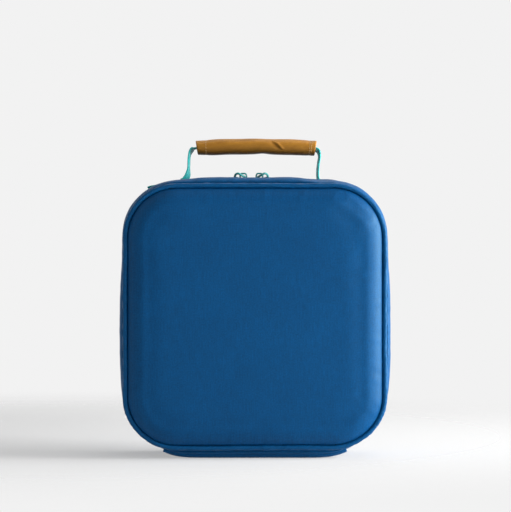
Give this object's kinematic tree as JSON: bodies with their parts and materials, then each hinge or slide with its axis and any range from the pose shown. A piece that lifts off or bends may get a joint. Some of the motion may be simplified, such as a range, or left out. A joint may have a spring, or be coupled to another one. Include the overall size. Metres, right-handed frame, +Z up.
{
  "type": "lunch box",
  "caption": "Soft zip-round insulated lunch box with padded piped panels, a zipper gusset, cord pulls and a webbing handle with a wrapped grip.",
  "frame": {"origin": "centre of the bottom, on the surface it stands on", "axes": "+Z up, the front panel faces -Y, +X to the right seen from the front"},
  "size_m": [0.243, 0.095, 0.2859],
  "materials": {
    "blue_fabric": "woven polyester",
    "piping_fabric": "woven polyester over cord",
    "foam": "closed-cell foam",
    "lining": "wipe-clean film",
    "binding": "woven tape",
    "zipper_tape": "woven tape",
    "zipper_coil": "nylon coil",
    "slider_metal": "painted zinc",
    "pull_cord": "braided cord",
    "webbing": "woven webbing",
    "grip": "woven wrap"
  },
  "bodies": {
    "body": {"back_panel_cover": "blue_fabric", "back_panel_foam": "foam", "back_panel_lining": "lining", "back_piping": "piping_fabric", "body_gusset_cover": "blue_fabric", "body_gusset_foam": "foam", "body_gusset_lining": "lining", "body_bottom_panel": "blue_fabric", "body_zipper_tape": "zipper_tape", "body_zipper_coil": "zipper_coil", "body_seam_binding": "binding", "hinge_strip": "blue_fabric", "left_strap_end": "webbing", "right_strap_end": "webbing"},
    "lid": {"front_panel_cover": "blue_fabric", "front_panel_foam": "foam", "front_panel_lining": "lining", "front_piping": "piping_fabric", "lid_gusset_cover": "blue_fabric", "lid_gusset_foam": "foam", "lid_gusset_lining": "lining", "lid_bottom_panel": "blue_fabric", "lid_zipper_tape": "zipper_tape", "lid_zipper_coil": "zipper_coil", "lid_seam_binding": "binding"},
    "handle": {"handle_webbing": "webbing", "handle_grip": "grip", "grip_padding": "foam"},
    "left_slider": {"left_slider_casting": "slider_metal"},
    "left_pull": {"left_pull_cord": "pull_cord"},
    "right_slider": {"right_slider_casting": "slider_metal"},
    "right_pull": {"right_pull_cord": "pull_cord"}
  },
  "joints": [
    {"name": "lid_hinge", "type": "hinge", "parent": "body", "child": "lid", "pos_m": [0, -0.01, 0.0003], "axis": [1, 0, 0], "range_deg": [0, 170], "deforming": ["hinge_strip"]},
    {"name": "left_slider_run", "type": "slide", "parent": "body", "child": "left_slider", "axis": [-1, 0, 0], "range_m": [0, 0.046]},
    {"name": "right_slider_run", "type": "slide", "parent": "body", "child": "right_slider", "axis": [1, 0, 0], "range_m": [0, 0.044]},
    {"name": "left_pull_swing", "type": "hinge", "parent": "left_slider", "child": "left_pull", "pos_m": [-0.0105, -0.01, 0.2534], "axis": [1, 0, 0], "range_deg": [0, 170]},
    {"name": "right_pull_swing", "type": "hinge", "parent": "right_slider", "child": "right_pull", "pos_m": [0.004, -0.01, 0.2534], "axis": [1, 0, 0], "range_deg": [0, 170]},
    {"name": "handle_tilt", "type": "hinge", "parent": "body", "child": "handle", "pos_m": [0, 0.0145, 0.2592], "axis": [1, 0, 0], "range_deg": [-75, 60]}
  ]
}
